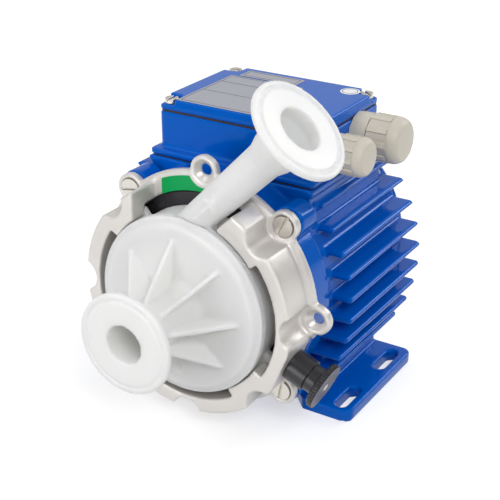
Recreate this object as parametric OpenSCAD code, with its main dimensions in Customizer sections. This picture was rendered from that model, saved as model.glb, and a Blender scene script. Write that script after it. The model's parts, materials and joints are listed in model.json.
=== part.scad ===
// Magnetically levitated centrifugal pump: bayonet pump head on a finned, foot-mounted motor.
// Depths run rearwards from the front plane of the pump head's rim, heights from the pump axis,
// and u runs to the right as seen from the inlet.

/* [Placement] */
// Height of the pump axis above the feet
shaft_h = 71; // [68:0.5:80]
// Depth of the middle of the foot slots
slot_mid = 85; // [80:0.5:95]

/* [Ferrules] */
// Diameter of both clamp ferrules
ferrule_d = 50.5; // [46:0.1:56]
// Thickness of a ferrule at its edge
ferrule_edge = 2.9; // [2:0.1:4]
// Thickness of a ferrule at its tube
ferrule_root = 6; // [4.5:0.1:8]
// Radius of the gasket groove in a ferrule
groove_r = 21.9; // [19:0.1:22.5]
// Half width and depth of the gasket groove
groove_size = 0.9; // [0.4:0.1:1.4]

/* [Pump cover] */
// Diameter of the cover's rim
rim_d = 93.4; // [93:0.1:93.8]
// Thickness of the cover's rim
rim_t = 2.4; // [2:0.1:3]
// How far the cover's face stands ahead of the rim
cover_rise = 3; // [2.4:0.1:5]
// Distance of the inlet face ahead of the rim
inlet_reach = 44.5; // [40:0.5:60]
// Bore of the inlet
inlet_bore_d = 19.4; // [14:0.1:21]
// Wall of the inlet tube
inlet_wall = 3.3; // [2.5:0.1:4]
// Number of gussets on the cover
rib_count = 8; // [4:1:12]
// Thickness of a gusset
rib_t = 2.4; // [1.5:0.1:3.5]
// Radius of the gusset tips
rib_tip_r = 36.5; // [30:0.5:39]
// Height of a gusset at the tube, ahead of the rim
rib_top = 27; // [18:0.5:34]
// Radial thickness of the spigot that enters the casing
spigot_t = 2; // [1.8:0.1:2.6]
// Length of the spigot
spigot_len = 3.6; // [3:0.1:5]

/* [Pump casing] */
// Diameter of the casing drum
drum_d = 90; // [89:0.1:90.8]
// Wall of the casing drum
drum_wall = 2.5; // [2:0.1:3.5]
// Thickness of the casing's rim and floor
floor_t = 2; // [1.6:0.1:2.6]
// Depth of the casing's back face
casing_back = 21.7; // [20.5:0.1:21.8]
// Diameter of the containment can
can_d = 56; // [50:0.1:58]
// Wall of the containment can
can_wall = 1.8; // [1.2:0.1:2.2]
// Length of the containment can behind the casing
can_len = 20.3; // [18:0.1:24]
// Angle of the outlet tube above the horizontal
outlet_angle = 45; // [40:1:50]
// Distance of the outlet's axis from the pump axis
outlet_offset = 27.5; // [25:0.1:28.5]
// Depth of the outlet's axis
outlet_depth = 8.2; // [7.8:0.1:9]
// Distance of the outlet face along its tube from abreast of the pump axis
outlet_reach = 113.8; // [100:0.5:130]
// Diameter of the outlet tube at the casing
outlet_tube_d = 15.6; // [14:0.1:16]
// Diameter of the outlet tube where it starts to flare
outlet_neck_d = 18.4; // [17:0.1:19]
// Diameter of the outlet tube at the ferrule
outlet_flare_d = 26; // [22:0.1:28]
// Length of the flare
flare_len = 17; // [10:0.5:25]
// Bore of the outlet tube
outlet_bore_d = 11; // [8:0.1:12]
// Bore at the outlet face
outlet_mouth_d = 21.4; // [14:0.1:21.8]
// Depth of the straight mouth
outlet_mouth_len = 7; // [5:0.1:9]

/* [Bayonet] */
// Number of bayonet tabs
tab_count = 4; // [4:1:4]
// Diameter over the tabs
tab_d = 102; // [100:0.1:102.8]
// Thickness of a tab
tab_t = 4; // [3:0.1:4.6]
// Angle at which the first tab starts
tab_start = 38; // [38:0.5:39]
// Angle that a tab spans
tab_span = 25.5; // [22:0.5:25.5]
// Gap between a tab and the lip in front of it
tab_gap = 0.2; // [0.1:0.05:0.5]

/* [Impeller] */
// Diameter of the impeller
impeller_d = 68; // [60:0.5:78]
// Diameter of the impeller's eye
eye_d = 23; // [20:0.5:26]
// Number of vanes
vane_count = 6; // [4:1:8]
// Thickness of a vane
vane_t = 1.8; // [1.2:0.1:2.6]
// Thickness of a shroud
shroud_t = 1.8; // [1.2:0.1:2.4]
// Running gap all round the rotor
rotor_gap = 0.7; // [0.5:0.05:0.9]
// Diameter of the relief hole through the rotor
relief_d = 9; // [6:0.5:12]
// Bore of the rotor magnet
magnet_bore_d = 24; // [18:0.5:28]
// Wall of the rotor's sleeve
sleeve_wall = 1.6; // [1:0.1:2]
// Length of the rotor magnet
magnet_len = 12; // [8:0.5:13]

/* [Mounting ring] */
// Depth of the ring's front face
ring_front = 3; // [2.8:0.1:4]
// Depth of the front face of the ring's flange
flange_front = 22; // [22:0.1:23]
// Thickness of the ring's flange
flange_t = 4.5; // [4:0.1:6]
// Diameter of the ring's outer wall
ring_d = 120; // [119.6:0.1:121]
// Diameter of the ring's flange
flange_d = 125.4; // [124:0.1:127]
// Bore of the ring, in which the bayonet tabs turn
ring_bore_d = 104; // [103.6:0.1:104.6]
// Bore between the lips
lip_d = 94.6; // [94.4:0.1:95.4]
// Thickness of a lip
lip_t = 10.8; // [9:0.1:11]
// Step from the ring's front face back to a lip
lip_recess = 0.2; // [0.1:0.05:0.5]
// Number of ears
ear_count = 8; // [8:1:8]
// Diameter of the circle through the ears
ear_pcd = 126; // [125:0.1:127]
// Radius of an ear
ear_r = 7.8; // [7.2:0.1:8.6]
// Radius of the scallop in front of an ear
scallop_r = 8.7; // [8.2:0.1:9.4]
// Diameter of the through holes in the free ears
ear_hole_d = 5.6; // [5:0.1:6.4]
// Diameter of the countersinks in the free ears
countersink_d = 12; // [10:0.1:13]
// Left end of the opening for the outlet tube
window_left = 29; // [28:0.5:30]
// Distance from the outlet's axis to the opening's right end
window_gap = 10; // [9.5:0.1:11]

/* [Ring screws] */
// Diameter of a screw shank
bolt_d = 5.8; // [5:0.1:6]
// Diameter of a screw head
head_d = 10.4; // [9:0.1:10.8]
// Height of a screw head
head_t = 2.6; // [2.2:0.1:3]
// Depth of the recess for the head
head_recess = 2.2; // [1.6:0.1:2.6]
// Width of the screwdriver slot
slot_w = 1.5; // [1:0.1:2]
// Clearance round screws and seated pieces
fit_gap = 0.1; // [0.05:0.05:0.2]

/* [Lock plunger] */
// Direction of the plunger below the horizontal
lock_angle = 22.5; // [22:0.5:23]
// Depth of the plunger's axis
lock_depth = 15.8; // [15.4:0.1:16.2]
// Distance of the flat that carries the plunger from the pump axis
lock_flat = 59; // [58.6:0.1:59.2]
// Diameter of the lock pin
pin_d = 4.4; // [4:0.1:4.6]
// Travel of the lock pin
pin_travel = 5; // [4:0.1:5.2]
// Distance of the parked pin's tip from the pump axis
pin_tip = 51.4; // [51.2:0.1:51.8]
// Diameter of the barrel
barrel_d = 16.4; // [15:0.1:18]
// Length of the barrel
barrel_len = 10.9; // [10.9:0.1:13]
// Diameter of the knob's hub
hub_d = 14; // [13:0.1:14.4]
// Distance of the knob's disc from the pump axis
knob_seat = 75.4; // [75:0.1:78]
// Diameter of the knob's disc
knob_d = 24; // [20:0.5:28]
// Thickness of the knob's disc
knob_t = 3.6; // [3:0.1:5]
// Number of grooves in the knurl
knurl_count = 48; // [24:4:60]
// Thickness of the pin's collar
collar_t = 1.2; // [0.8:0.1:1.4]
// Diameter of the spring's wire
wire_d = 0.6; // [0.4:0.05:0.7]

/* [Motor plate] */
// Wall of the cup that holds the containment can
cup_wall = 1.4; // [1:0.1:1.8]
// Gap between the containment can and its cup
can_gap = 0.4; // [0.3:0.05:0.7]
// Length of the spigot behind the motor plate
plate_spigot = 3.5; // [2:0.1:3.8]
// Diameter of the circle through the plate screws
plate_pcd = 94; // [90:0.5:96]
// Angle of the first plate screw
plate_screw_start = 50; // [48:1:52]

/* [Motor housing] */
// Diameter of the front bell
bell_d = 119; // [118:0.5:120]
// Depth of the bell's rear end
bell_back = 43; // [40:0.5:46]
// Diameter of the barrel
housing_d = 112; // [111:0.5:114]
// Bore of the barrel
bore_d = 104; // [103.5:0.1:105]
// Depth of the barrel's rear face
housing_back = 131; // [130:0.5:140]
// Thickness of the front wall
front_wall = 4; // [3:0.1:5]
// Bore of the front wall
front_bore_d = 80; // [78:0.5:82]
// Radius of a boss behind a screw ear
boss_r = 8.2; // [7.6:0.1:8.6]
// Length of a boss
boss_len = 14; // [12:0.5:16]
// Depth of the shoulder that carries the stator
shoulder_depth = 82; // [80:0.5:84]
// Length and height of the shoulder
shoulder_size = 4; // [3:0.1:5]

/* [Fins] */
// Number of fins on a side
fin_count = 9; // [7:1:9]
// Height of the top fin
fin_top = 45.3; // [44:0.1:46]
// Distance between fins
fin_pitch = 11.65; // [10.5:0.05:11.7]
// Thickness of a fin
fin_t = 2.8; // [2:0.1:4]
// Depth of the fins' front ends
fin_front = 50.8; // [48:0.1:54]
// Reach of the longest fin
fin_reach = 68.2; // [65:0.1:75]
// Radius of the arc through the fin tips
fin_arc_r = 75; // [72:0.5:90]
// Height of that arc's middle below the pump axis
fin_arc_drop = 7.5; // [5:0.1:10]
// Reach of the top fin below the cable glands
top_fin_short = 49.9; // [49:0.1:54]
// Reach of the top fin on the plain side
top_fin_long = 61.4; // [56:0.1:64]

/* [Feet] */
// Thickness of a foot
foot_t = 7; // [5:0.1:10]
// Distance of a foot's outer edge from the middle
foot_outer = 70; // [69:0.1:74]
// Distance of a foot's inner edge from the middle
foot_inner = 31; // [28:0.1:34]
// Depth of the feet's front ends
foot_front = 49; // [47:0.1:52]
// Depth of the feet's rear ends
foot_back = 125; // [122:0.1:130]
// Radius of the feet's outer corners
foot_corner = 5; // [3:0.1:7]
// Cut across the front inner corner
foot_chamfer = 11; // [8:0.1:12]
// Distance between the slots of a foot
slot_pitch = 45; // [40:0.5:48]
// Distance between the two feet's slots
slot_gauge = 124; // [122:0.5:126]
// Length of a slot
foot_slot_len = 22; // [16:0.5:24]
// Width of a slot
foot_slot_w = 7; // [6:0.1:8]
// Thickness of the web above a foot
web_t = 15; // [10:0.5:17]

/* [Terminal box] */
// Height of the motor's pad below the box
pad_h = 55.5; // [54.5:0.1:56]
// Thickness of the gaskets
gasket_t = 0.5; // [0.4:0.1:1]
// Thickness of the box's base flange
base_t = 3.3; // [2.5:0.1:3.5]
// Width of the base flange
base_w = 96; // [94:0.5:98]
// Depths that the base flange spans
base_front = 43.6; // [43.5:0.1:45]
// Depth of the base flange's rear edge
base_back = 121.6; // [120:0.1:124]
// Width of the box
box_w = 90; // [88:0.5:92]
// Depth of the box's front wall
box_front = 48.8; // [48:0.1:50]
// Depth of the box's rear wall
box_back = 118.6; // [117:0.1:120]
// Height of the box's mouth
box_top = 78.2; // [77.8:0.1:80]
// Thickness of the box's walls
box_wall = 5; // [4:0.1:6]
// Radius of the box's corners
box_corner = 3; // [2:0.1:5]
// Thickness of the box's floor
box_floor = 2; // [1.5:0.1:3]
// Thickness of the lid gasket
lid_gasket_t = 1.1; // [0.8:0.1:1.5]
// Thickness of the lid's edge
lid_edge = 2.6; // [2:0.1:3]
// Rise of the lid's raised middle
lid_rise = 3.1; // [2:0.1:4]
// Size of the notches at the lid's corners
lid_notch = 9.5; // [9:0.1:11]
// Inset of the lid screws from the box's sides
lid_screw_in = 5; // [5:0.1:5.4]
// Diameter of the cable passage into the motor
passage_d = 14; // [10:0.5:18]
// Depth of the cable passage
passage_depth = 98; // [94:0.5:100]

/* [Cable glands] */
// Height of both gland axes
gland_h = 69; // [68.6:0.1:69.4]
// Distance of the large gland's axis from the box's rear wall
large_gland_in = 23.2; // [21.6:0.1:26]
// Radius of the large gland
large_gland_r = 12.1; // [11:0.1:12.4]
// Radius of the large gland's thread
large_thread_r = 7.9; // [7:0.1:8]
// Distance of the small gland's axis from the box's front wall
small_gland_in = 16.2; // [15:0.1:18]
// Radius of the small gland
small_gland_r = 9.9; // [9:0.1:10.5]
// Radius of the small gland's thread
small_thread_r = 5.9; // [5.5:0.1:6.5]
// Length of a gland's hexagon as a share of its radius
gland_hex_ratio = 0.72; // [0.6:0.01:0.85]
// Length of a gland's cap as a share of its radius
gland_cap_ratio = 1.42; // [1.2:0.01:1.6]

/* [Stator] */
// Number of stator claws
claw_count = 8; // [6:1:8]
// Width of a claw
claw_w = 9; // [7:0.1:10]
// Thickness of a claw
claw_t = 7; // [5:0.1:8]
// Radial gap between the cup and the claws
claw_gap = 0.3; // [0.2:0.05:0.5]
// Height of a claw's tip along the axis
tip_len = 9; // [7:0.1:10]
// Thickness of a coil bobbin
bobbin_t = 1; // [0.8:0.1:1.4]
// Thickness of a winding
coil_t = 3; // [2:0.1:3.2]
// Length of the stator yoke
yoke_len = 7; // [5:0.1:9]

/* [Electronics] */
// Thickness of the circuit boards
board_t = 1.6; // [1:0.1:2]
// Radius of the sensor board
sensor_r = 24; // [20:0.5:26]
// Height of the standoffs below the sensor board
sensor_post = 2; // [1.5:0.1:3]
// Gap between the controller board and the barrel
controller_gap = 0.6; // [0.4:0.1:0.8]
// Length of the controller board's standoffs
standoff_len = 8; // [6:0.5:10]
// Diameter of a capacitor
capacitor_d = 12; // [8:0.5:13]
// Height of a capacitor
capacitor_len = 20; // [12:0.5:24]

/* [Rear cover] */
// Thickness of the rear cover
rear_t = 4; // [3:0.1:6]
// Diameter of the circle through the rear screws
rear_pcd = 92; // [90:0.5:94]
// Number of rear screws
rear_screws_n = 4; // [4:1:6]
// Length of a stiffening rib on the rear cover
rear_rib_len = 62; // [40:1:64]

/* [Labels] */
// Thickness of the plates and stickers
label_t = 0.3; // [0.2:0.05:0.5]
// Distance of the rating plate from the lid's left side
plate_in = 10.6; // [8:0.1:14]
// Length of the rating plate along the pump
rating_len = 50.6; // [40:0.1:51]
// Width of the rating plate
rating_w = 44.4; // [36:0.1:46]
// Length of the strip plate along the pump
strip_len = 10.6; // [8:0.1:11]
// Width of the strip plate
strip_w = 34.5; // [24:0.1:36]
// Diameter of the round sticker
sticker_d = 10.4; // [8:0.1:12]
// Inset of the round sticker from the lid's right side
sticker_in = 12; // [10:0.1:14]

/* [Hidden] */
$fn = 72;
eps = 0.01;
far = 200;

rim_r = rim_d / 2;
drum_r = drum_d / 2;
chamber_r = drum_r - drum_wall;
chamber_back = casing_back - floor_t;
can_r = can_d / 2;
can_in_r = can_r - can_wall;
can_back = casing_back + can_len;
spigot_r = chamber_r - fit_gap;
tab_front = ring_front + lip_t + tab_gap;
ring_r = ring_d / 2;
ring_bore_r = ring_bore_d / 2;
flange_back = flange_front + flange_t;
ear_ring_r = ear_pcd / 2;
plate_r = ring_bore_r - 3 * fit_gap;
cup_r = can_r + can_gap + cup_wall;
cup_back = can_back + can_gap + cup_wall;
bore_r = bore_d / 2;
wall_back = flange_back + front_wall;
bolt_len = flange_t - head_recess + boss_len - 3;

// A flat piece between two depths, drawn as seen from the inlet
module station(depth) {
  translate([depth - slot_mid, 0, shaft_h]) rotate([90, 0, -90]) children();
}

module slab(front, back) {
  station(back) linear_extrude(back - front) children();
}

// A solid turned about the pump axis, from points of radius and depth
module turned(points) {
  station(0) rotate_extrude() polygon([for (p = points) [p[0], -p[1]]]);
}

// A box between two depths, two places across and two heights above the pump axis
module block(depths, across, heights) {
  translate([depths[0] - slot_mid, -across[1], shaft_h + heights[0]])
    cube([depths[1] - depths[0], across[1] - across[0], heights[1] - heights[0]]);
}

// Copies on a circle in the front view
module around(count, r, start = 0) {
  for (i = [0:count - 1])
    rotate(start + i * 360 / count) translate([r, 0]) children();
}

module ring_2d(outer, inner) {
  difference() {
    circle(outer);
    circle(inner);
  }
}

// A rectangle with round corners, centred
module round_rect(w, h, r) {
  square([w - 2 * r, h], center = true);
  square([w, h - 2 * r], center = true);
  for (x = [-1, 1], y = [-1, 1])
    translate([x * (w / 2 - r), y * (h / 2 - r)]) circle(r, $fn = 32);
}

// Something drawn flat on the box, seen from above, raised from one height to another
module raised(low, high, front, back) {
  translate([(front + back) / 2 - slot_mid, 0, shaft_h + low]) linear_extrude(high - low) children();
}

// A slotted cheese-head screw along +z, its head standing on z = 0
module slotted_screw(shank_r, shank_len, head_r, head_h) {
  difference() {
    union() {
      translate([0, 0, -shank_len]) cylinder(r = shank_r, h = shank_len + eps);
      cylinder(r = head_r, h = head_h);
    }
    translate([-head_r - 1, -slot_w / 2, head_h * 0.5]) cube([2 * head_r + 2, slot_w, head_h]);
  }
}

// A countersunk screw along +z with its flat top at z = 0
module flush_screw(shank_r, length, head_r) {
  difference() {
    union() {
      translate([0, 0, -length]) cylinder(r = shank_r, h = length);
      translate([0, 0, shank_r - head_r]) cylinder(r1 = shank_r, r2 = head_r, h = head_r - shank_r);
    }
    translate([-head_r, -0.35, -0.8]) cube([2 * head_r, 0.7, 1]);
  }
}

// Points of the ferrule's section from its bore to its root, for an axis that runs to the face
function ferrule_points(bore_r, tube_r, face) = [
  [bore_r, face],
  [groove_r - groove_size, face],
  [groove_r - groove_size * 0.5, face - groove_size],
  [groove_r + groove_size * 0.5, face - groove_size],
  [groove_r + groove_size, face],
  [ferrule_d / 2 - 0.5, face],
  [ferrule_d / 2, face - 0.5],
  [ferrule_d / 2, face - ferrule_edge],
  [tube_r + 2, face - ferrule_root],
  [tube_r, face - ferrule_root - 2]
];

inlet_r = inlet_bore_d / 2;
inlet_tube_r = inlet_r + inlet_wall;
fillet_r = 9;

module pump_cover() {
  inlet_face = [for (p = ferrule_points(inlet_r, inlet_tube_r, inlet_reach)) [p[0], -p[1]]];
  fillet = [
    for (a = [0:15:90])
      [inlet_tube_r + fillet_r * (1 - cos(a)), -cover_rise - 1.6 - fillet_r * (1 - sin(a))]
  ];
  color([0.93, 0.94, 0.94, 0.8]) difference() {
    union() {
      turned(concat(inlet_face, fillet, [
        [rib_tip_r, -cover_rise],
        [rim_r - 5, -cover_rise + 0.7],
        [rim_r - 3.6, -cover_rise + 1.1],
        [rim_r - 3.2, -0.8],
        [rim_r - 2.2, -0.5],
        [rim_r - 1.9, 0],
        [rim_r - 0.5, 0],
        [rim_r, 0.5],
        [rim_r, rim_t],
        [spigot_r, rim_t],
        [spigot_r, rim_t + spigot_len],
        [spigot_r - spigot_t, rim_t + spigot_len],
        [spigot_r - spigot_t, 0],
        [inlet_r, 0]
      ]));
      cover_ribs();
    }
    turned([
      [oring_r - oring_size, oring_depth - oring_size],
      [spigot_r + 1, oring_depth - oring_size],
      [spigot_r + 1, oring_depth + oring_size],
      [oring_r - oring_size, oring_depth + oring_size]
    ]);
  }
}

module cover_ribs() {
  station(0) for (i = [0:rib_count - 1])
    rotate(2 + i * 360 / rib_count) rotate([90, 0, 0])
      linear_extrude(rib_t, center = true)
        polygon([
          [inlet_tube_r - 1, rib_top],
          [inlet_tube_r + 1.2, rib_top],
          [rib_tip_r, cover_rise + 0.2],
          [rib_tip_r, 1],
          [inlet_tube_r - 1, 1]
        ]);
}

oring_size = 0.75;
oring_r = spigot_r - oring_size + fit_gap;
oring_depth = rim_t + spigot_len / 2;

module casing_oring() {
  color("dimgray") station(oring_depth) rotate_extrude()
    translate([oring_r, 0]) circle(oring_size - eps, $fn = 24);
}

// Places children on the outlet's axis, +z towards the outlet face
module on_outlet() {
  station(outlet_depth) rotate(outlet_angle) translate([0, outlet_offset, 0]) rotate([0, 90, 0]) children();
}

tube_from = 26;
neck_at = outlet_reach - ferrule_root - 2 - flare_len;

module outlet_outer() {
  face = ferrule_points(0, outlet_flare_d / 2, outlet_reach);
  rotate_extrude() polygon(concat(face, [
    [outlet_flare_d / 2 - 0.4, outlet_reach - ferrule_root - 4],
    [(outlet_flare_d + outlet_neck_d) / 4, neck_at + flare_len * 0.35],
    [outlet_neck_d / 2, neck_at],
    [outlet_tube_d / 2, tube_from],
    [0, tube_from]
  ]));
}

module outlet_bore() {
  translate([0, 0, tube_from - 10]) cylinder(d = outlet_bore_d, h = outlet_reach);
  translate([0, 0, outlet_reach - outlet_mouth_len])
    cylinder(d = outlet_mouth_d, h = outlet_mouth_len + 1);
  translate([0, 0, outlet_reach - outlet_mouth_len - flare_len])
    cylinder(d1 = outlet_bore_d, d2 = outlet_mouth_d, h = flare_len + eps);
}

// A plain flow arrow that stands just proud of the tube
module flow_arrow() {
  intersection() {
    translate([0, 0, tube_from]) cylinder(d = outlet_neck_d + 0.2, h = 60);
    translate([-far, 0, 57]) rotate([0, 90, 0]) linear_extrude(far) flow_arrow_2d();
  }
}

module flow_arrow_2d() {
  translate([2, -0.5]) square([14, 1]);
  for (side = [-1, 1]) rotate(side * 38) translate([0, -0.5]) square([7, 1]);
}

module casing_body() {
  turned([
    [chamber_r, rim_t],
    [rim_r, rim_t],
    [rim_r, 2 * rim_t],
    [drum_r, 2 * rim_t + 1],
    [drum_r, casing_back],
    [can_r, casing_back],
    [can_r, can_back - 1],
    [can_r - 1, can_back],
    [0, can_back],
    [0, can_back - can_wall],
    [can_in_r, can_back - can_wall],
    [can_in_r, chamber_back],
    [chamber_r, chamber_back]
  ]);
}

module bayonet_tab() {
  rotate_extrude(angle = tab_span)
    polygon([[drum_r - 1, 0], [tab_d / 2 - 0.6, 0], [tab_d / 2, 0.6], [tab_d / 2, tab_t - 0.6],
      [tab_d / 2 - 0.6, tab_t], [drum_r - 1, tab_t]]);
}

module pump_casing() {
  color([0.93, 0.94, 0.94, 0.8]) difference() {
    union() {
      casing_body();
      on_outlet() outlet_outer();
      on_outlet() flow_arrow();
      station(tab_front + tab_t) for (i = [0:tab_count - 1])
        rotate(tab_start + i * 360 / tab_count) bayonet_tab();
    }
    slab(-far / 2, rim_t) circle(rim_r + fit_gap);
    slab(-1, chamber_back) circle(chamber_r);
    on_outlet() outlet_bore();
  }
}

shroud_front = rotor_gap;
shroud_back = chamber_back - rotor_gap;
rotor_r = can_in_r - rotor_gap;
rotor_back = can_back - can_wall - rotor_gap;
impeller_r = impeller_d / 2;

// One backward-curved vane
module vane_2d() {
  sweep = 55;
  inner = eye_d / 2 - 3;
  steps = 8;
  function at(k, off) = let (
    t = k / steps,
    r = inner + (impeller_r - 0.5 - inner) * t
  ) [r * cos(-sweep * t) + off * sin(-sweep * t), r * sin(-sweep * t) - off * cos(-sweep * t)];
  polygon(concat([for (k = [0:steps]) at(k, vane_t / 2)], [for (k = [steps:-1:0]) at(k, -vane_t / 2)]));
}

module impeller_shrouds() {
  color([0.82, 0.82, 0.78]) {
    slab(shroud_front, shroud_front + shroud_t) ring_2d(impeller_r, eye_d / 2);
    slab(shroud_front + shroud_t - eps, shroud_back - shroud_t + eps)
      for (i = [0:vane_count - 1]) rotate(i * 360 / vane_count) vane_2d();
    slab(shroud_back - shroud_t, shroud_back) ring_2d(impeller_r, relief_d / 2);
    slab(shroud_back - shroud_t - 6, shroud_back) ring_2d(eye_d / 2 - 2.5, relief_d / 2);
  }
}

magnet_front = shroud_back + sleeve_wall;

module rotor_sleeve() {
  color([0.75, 0.75, 0.72]) turned_shell();
}

// The rotor's sleeve encloses the magnet all round
module turned_shell() {
  difference() {
    slab(shroud_back, rotor_back) ring_2d(rotor_r, relief_d / 2);
    slab(magnet_front, magnet_front + magnet_len) ring_2d(rotor_r - sleeve_wall, magnet_bore_d / 2);
  }
}

module rotor_magnet() {
  color("slategray") slab(magnet_front, magnet_front + magnet_len)
    ring_2d(rotor_r - sleeve_wall, magnet_bore_d / 2);
}

// Half plane beyond the flat that carries the lock plunger
module lock_flat_cut() {
  rotate(-lock_angle) translate([lock_flat, -14]) square([30, 28]);
}

// Sideways opening through which the head's outlet tube swings
module window_2d() {
  right = outlet_offset - window_gap;
  intersection() {
    translate([-window_left, 0]) square([far, far]);
    rotate(outlet_angle) translate([0, right]) square([far, far]);
  }
}

module lip_sector(start, end) {
  station(ring_front + lip_t) rotate(start) rotate_extrude(angle = end - start)
    translate([lip_d / 2, 0]) square([(ring_bore_d - lip_d) / 2 + 1, lip_t - lip_recess]);
}

// Start and end angles of the lips between the entry pockets
LIPS = [[37, 66], [112, 146], [214, 238], [302, 328]];

module mounting_ring() {
  color([0.78, 0.77, 0.75]) difference() {
    union() {
      slab(ring_front, flange_front + eps) difference() {
        ring_2d(ring_r, ring_bore_r);
        around(ear_count, ear_ring_r) circle(scallop_r);
      }
      for (lip = LIPS) lip_sector(lip[0], lip[1]);
      slab(flange_front, flange_back) difference() {
        union() {
          circle(flange_d / 2);
          around(ear_count, ear_ring_r) circle(ear_r);
        }
        circle(ring_bore_r);
      }
    }
    slab(ring_front - 1, flange_front) window_2d();
    slab(ring_front - 1, flange_back + 1) lock_flat_cut();
    slab(flange_front - 1, flange_back + 1) around(ear_count, ear_ring_r) circle(d = ear_hole_d);
    station(flange_front) around(ear_count / 2, ear_ring_r) countersink();
    slab(flange_front - 1, flange_front + head_recess)
      around(ear_count / 2, ear_ring_r, 45) circle(head_d / 2 + 0.3);
    slab(flange_front - 1, flange_back + 1)
      around(ear_count / 2, ear_ring_r, 45) circle(bolt_d / 2 + fit_gap);
    lock_bore();
  }
}

module countersink() {
  depth = (countersink_d - ear_hole_d) / 2;
  translate([0, 0, -depth]) cylinder(d1 = ear_hole_d, d2 = countersink_d, h = depth);
  cylinder(d = countersink_d, h = 1);
}

module ring_screws() {
  color([0.75, 0.72, 0.68]) station(flange_front + head_recess)
    for (i = [0:3]) rotate(45 + i * 90) translate([ear_ring_r, 0]) rotate(20 + 35 * i)
      slotted_screw(bolt_d / 2, bolt_len, head_d / 2, head_t);
}

// Label behind the swing opening, clipped round the free ear
module lock_label() {
  color([0, 0.62, 0.35]) slab(flange_front - label_t, flange_front) difference() {
    intersection() {
      ring_2d(ring_r - 0.2, ring_bore_r + 0.2);
      translate([-window_left + 4.5, 30]) square([38, 40]);
    }
    translate([0, ear_ring_r]) circle(scallop_r);
  }
}

// Places children on the lock plunger's axis at a distance from the pump axis, +z outwards
module on_lock(r) {
  station(lock_depth) rotate(-lock_angle) translate([r, 0, 0]) rotate([0, 90, 0]) children();
}

pin_r = pin_d / 2;
spring_seat = pin_tip + pin_travel + 3.1;
collar_r = pin_r + 2.1;
chamber_top = spring_seat + collar_t + 2.4;
sleeve_top = lock_flat + barrel_len;
sleeve_foot = 2;

module lock_bore() {
  on_lock(ring_bore_r - 3) cylinder(r = pin_r + 0.05, h = 12);
  on_lock(ring_bore_r + 2.5) cylinder(r = collar_r + fit_gap, h = 12);
  on_lock(lock_flat - sleeve_foot) cylinder(r = collar_r + 1.6, h = 6);
}

module lock_sleeve() {
  color([0.1, 0.1, 0.1]) difference() {
    union() {
      on_lock(lock_flat) cylinder(d = barrel_d, h = barrel_len);
      on_lock(lock_flat - sleeve_foot) cylinder(r = collar_r + 1.5, h = sleeve_foot + 1);
    }
    on_lock(lock_flat - sleeve_foot - 1) cylinder(r = collar_r + fit_gap, h = chamber_top - lock_flat + sleeve_foot + 1);
    on_lock(lock_flat) cylinder(r = pin_r + 0.05, h = barrel_len);
    on_lock(hub_in - pin_travel - 0.3) cylinder(r = hub_d / 2 + 0.05, h = barrel_len);
  }
}

hub_in = sleeve_top - 0.1;

module lock_spring() {
  turns = 2.5;
  mid_r = pin_r + 1.2;
  rise = chamber_top - spring_seat - collar_t - wire_d - 0.1;
  color("silver") on_lock(spring_seat + collar_t + wire_d / 2 + 0.05)
    coil_spring(mid_r, wire_d / 2, turns, rise);
}

// A closed helical wire with flat cut ends, swept ring by ring
module coil_spring(mid_r, wire_r, turns, rise) {
  sides = 8;
  rings = 20 * turns;
  function point(i, j) = let (
    a = 360 * turns * i / rings,
    b = 360 * j / sides,
    r = mid_r + wire_r * cos(b)
  ) [r * cos(a), r * sin(a), rise * i / rings + wire_r * sin(b)];
  points = [for (i = [0:rings], j = [0:sides - 1]) point(i, j)];
  walls = [
    for (i = [0:rings - 1], j = [0:sides - 1])
      let (n = (j + 1) % sides)
        [i * sides + j, i * sides + n, (i + 1) * sides + n, (i + 1) * sides + j]
  ];
  first = [for (j = [sides - 1:-1:0]) j];
  last = [for (j = [0:sides - 1]) rings * sides + j];
  polyhedron(points, concat([first, last], walls));
}

module lock_pin() {
  tip_round = 0.8;
  color([0.75, 0.72, 0.68]) on_lock(0) {
    translate([0, 0, pin_tip + tip_round]) cylinder(r = pin_r, h = knob_seat + 1.6 - pin_tip - tip_round);
    translate([0, 0, pin_tip]) cylinder(r1 = pin_r - tip_round, r2 = pin_r, h = tip_round);
    translate([0, 0, spring_seat]) cylinder(r = collar_r, h = collar_t);
  }
}

module lock_knob() {
  edge = 1.1;
  color([0.1, 0.1, 0.1]) difference() {
    union() {
      on_lock(hub_in) cylinder(d = hub_d, h = knob_seat - hub_in + eps);
      on_lock(knob_seat) cylinder(d1 = knob_d - 2 * edge, d2 = knob_d, h = edge);
      on_lock(knob_seat + edge) cylinder(d = knob_d, h = knob_t - edge);
    }
    on_lock(hub_in - 1) cylinder(r = pin_r, h = knob_seat + 1.6 - hub_in + 1);
    on_lock(knob_seat + knob_t - rivet_t) cylinder(r = rivet_r, h = 2);
    on_lock(knob_seat + edge) for (i = [0:knurl_count - 1])
      rotate(i * 360 / knurl_count) translate([knob_d / 2, 0, -1])
        cylinder(r = 0.42, h = knob_t + 2, $fn = 16);
  }
}

rivet_r = 1.9;
rivet_t = 1.2;

module knob_rivet() {
  color([0.75, 0.72, 0.68]) on_lock(knob_seat + knob_t - rivet_t) cylinder(r = rivet_r, h = rivet_t + 0.2);
}

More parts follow.
